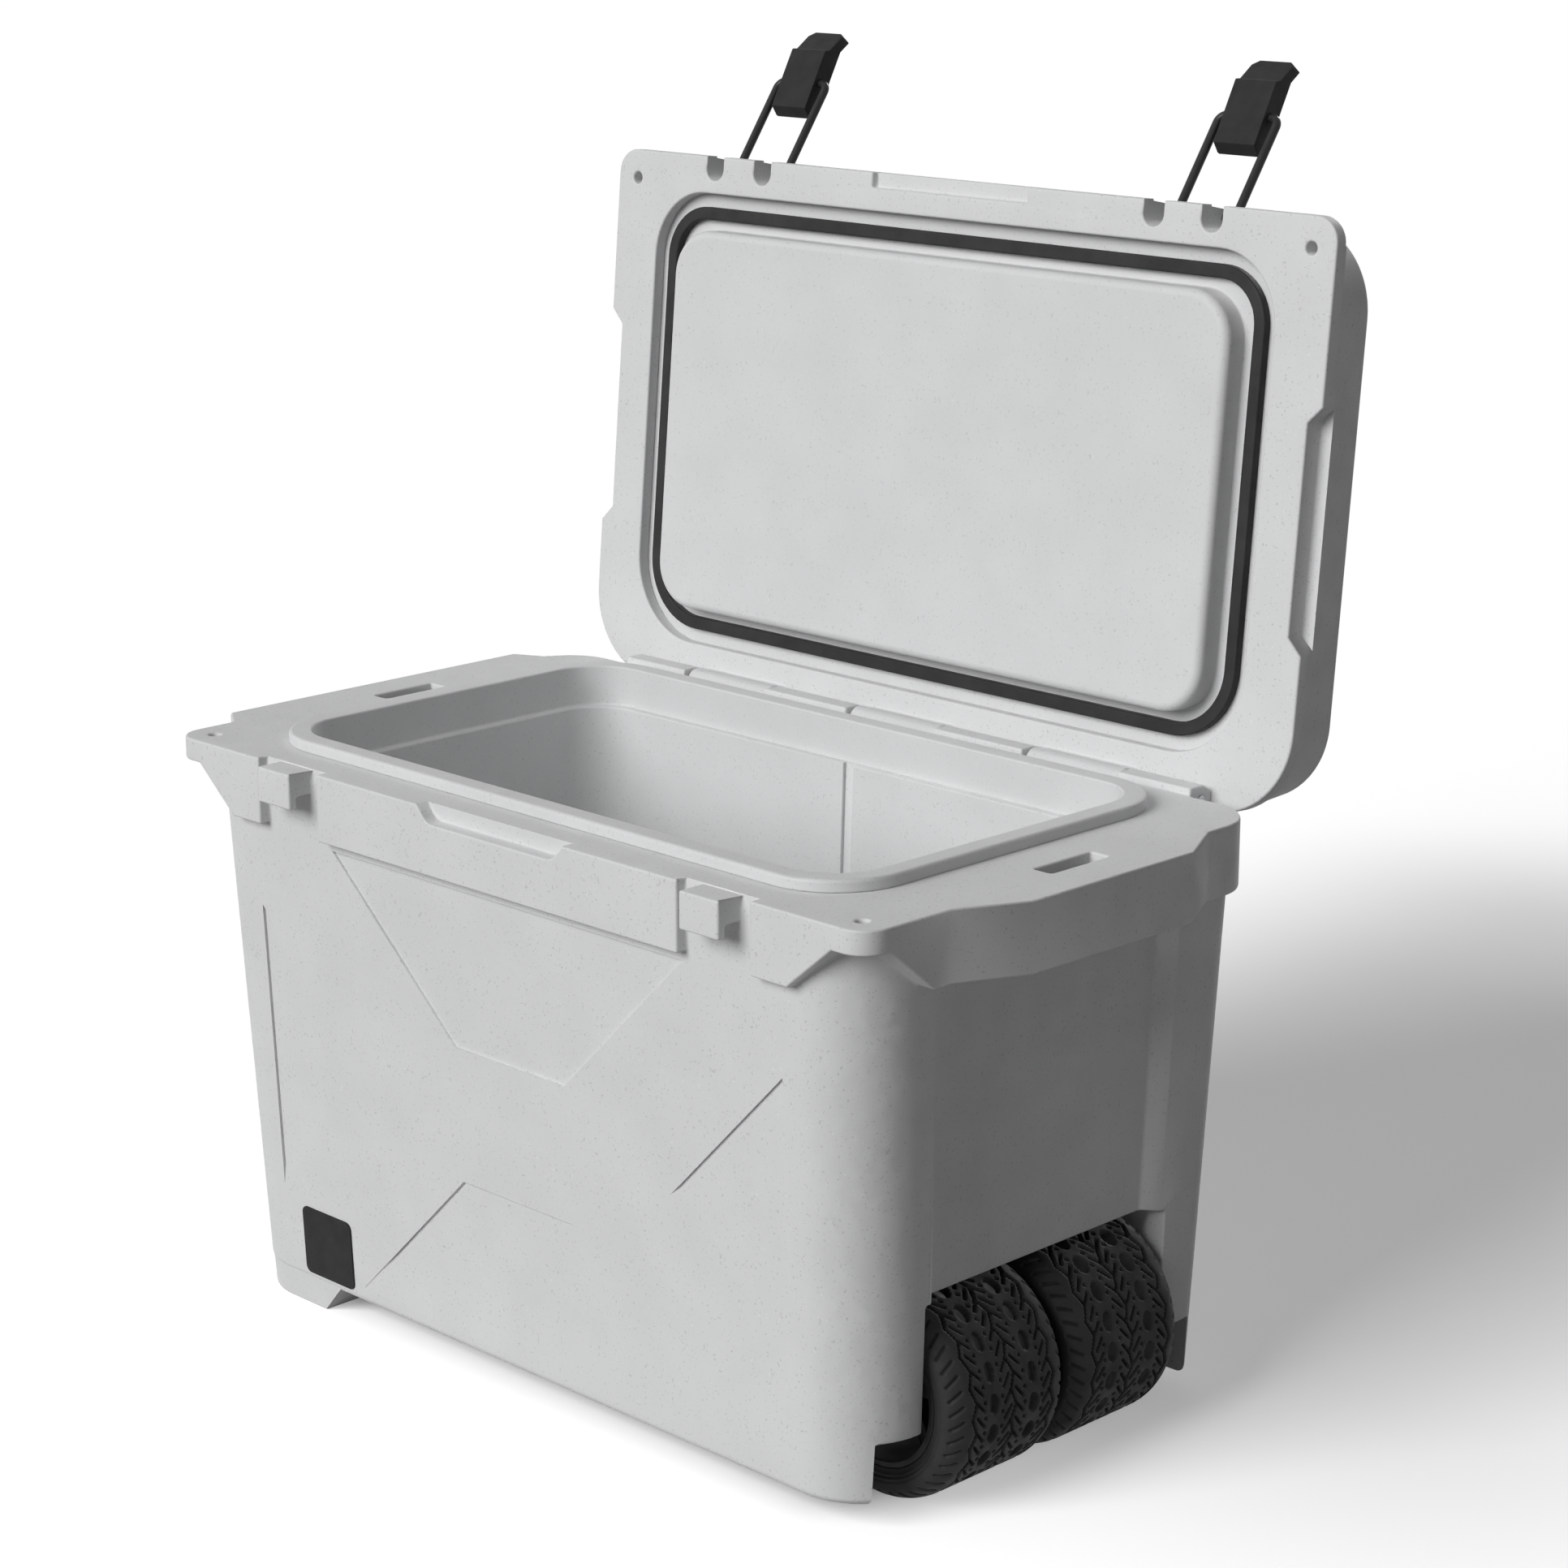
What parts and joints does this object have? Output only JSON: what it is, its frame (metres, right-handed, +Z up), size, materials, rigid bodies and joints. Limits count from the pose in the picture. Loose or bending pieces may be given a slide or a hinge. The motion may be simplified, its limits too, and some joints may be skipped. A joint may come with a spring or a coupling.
{
  "type": "cooler on wheels",
  "caption": "Hard-sided wheeled ice chest with a hinged gasketed lid, over-centre wire latches, carrying wings and wide rubber wheels in a well at one end",
  "frame": {"origin": "on the floor, under the middle of the whole object's box with the lid open as pictured", "axes": "+X towards the wheels, +Y towards the hinge, +Z up"},
  "size_m": [0.82, 0.6166, 0.9979],
  "materials": {
    "shell_plastic": "moulded speckled light grey, fine satin grain",
    "liner_plastic": "moulded speckled light grey, fine satin grain",
    "foam": "rigid polyurethane foam, cream",
    "gasket_rubber": "soft black rubber",
    "latch_plastic": "black nylon, satin",
    "latch_rod": "black coated steel wire",
    "tyre_rubber": "black tread rubber",
    "rim_plastic": "black moulded rim",
    "steel": "plain zinc-plated steel",
    "bush_plastic": "natural nylon",
    "drain_plastic": "black moulded fitting"
  },
  "bodies": {
    "tub": {"outer_shell": "shell_plastic", "inner_liner": "liner_plastic", "tub_foam": "foam", "hinge_pin": "steel", "wheel_axle": "steel", "wheel_spacer": "bush_plastic", "drain_fitting": "drain_plastic", "drain_nut": "drain_plastic", "front_axle_cap": "drain_plastic", "rear_axle_cap": "drain_plastic", "front_axle_cap_screws": "steel", "rear_axle_cap_screws": "steel", "front_thrust_washer": "bush_plastic", "rear_thrust_washer": "bush_plastic"},
    "lid": {"lid_shell": "shell_plastic", "lid_liner": "liner_plastic", "lid_foam": "foam", "lid_gasket": "gasket_rubber"},
    "left_bail": {"left_latch_bail": "latch_rod"},
    "right_bail": {"right_latch_bail": "latch_rod"},
    "left_lever": {"left_latch_lever": "latch_plastic"},
    "right_lever": {"right_latch_lever": "latch_plastic"},
    "front_wheel": {"front_tyre": "tyre_rubber", "front_rim": "rim_plastic", "front_wheel_bushing": "bush_plastic"},
    "rear_wheel": {"rear_tyre": "tyre_rubber", "rear_rim": "rim_plastic", "rear_wheel_bushing": "bush_plastic"},
    "plug": {"drain_plug": "drain_plastic", "drain_seal": "gasket_rubber"}
  },
  "joints": [
    {"name": "lid_hinge", "type": "hinge", "parent": "tub", "child": "lid", "pos_m": [0, 0.14528, 0.46], "axis": [1, 0, 0], "range_deg": [0, 95]},
    {"name": "left_bail_swing", "type": "hinge", "parent": "lid", "child": "left_bail", "pos_m": [-0.238, 0.22368, 0.88679], "axis": [1, 0, 0], "range_deg": [0, 113.2]},
    {"name": "left_lever_turn", "type": "hinge", "parent": "left_bail", "child": "left_lever", "pos_m": [-0.238, 0.27308, 0.95777], "axis": [1, 0, 0], "range_deg": [-100, 0]},
    {"name": "right_bail_swing", "type": "hinge", "parent": "lid", "child": "right_bail", "pos_m": [0.238, 0.22368, 0.88679], "axis": [1, 0, 0], "range_deg": [0, 113.2]},
    {"name": "right_lever_turn", "type": "hinge", "parent": "right_bail", "child": "right_lever", "pos_m": [0.238, 0.27308, 0.95777], "axis": [1, 0, 0], "range_deg": [-100, 0]},
    {"name": "front_wheel_spin", "type": "hinge", "parent": "tub", "child": "front_wheel", "pos_m": [0.304, -0.13972, 0.082], "axis": [0, 1, 0], "continuous": true},
    {"name": "rear_wheel_spin", "type": "hinge", "parent": "tub", "child": "rear_wheel", "pos_m": [0.304, -0.00972, 0.082], "axis": [0, 1, 0], "continuous": true},
    {"name": "drain_plug_turn", "type": "hinge", "parent": "tub", "child": "plug", "pos_m": [-0.3614, -0.07472, 0.104], "axis": [-1, 0, 0], "range_deg": [0, 270]}
  ]
}
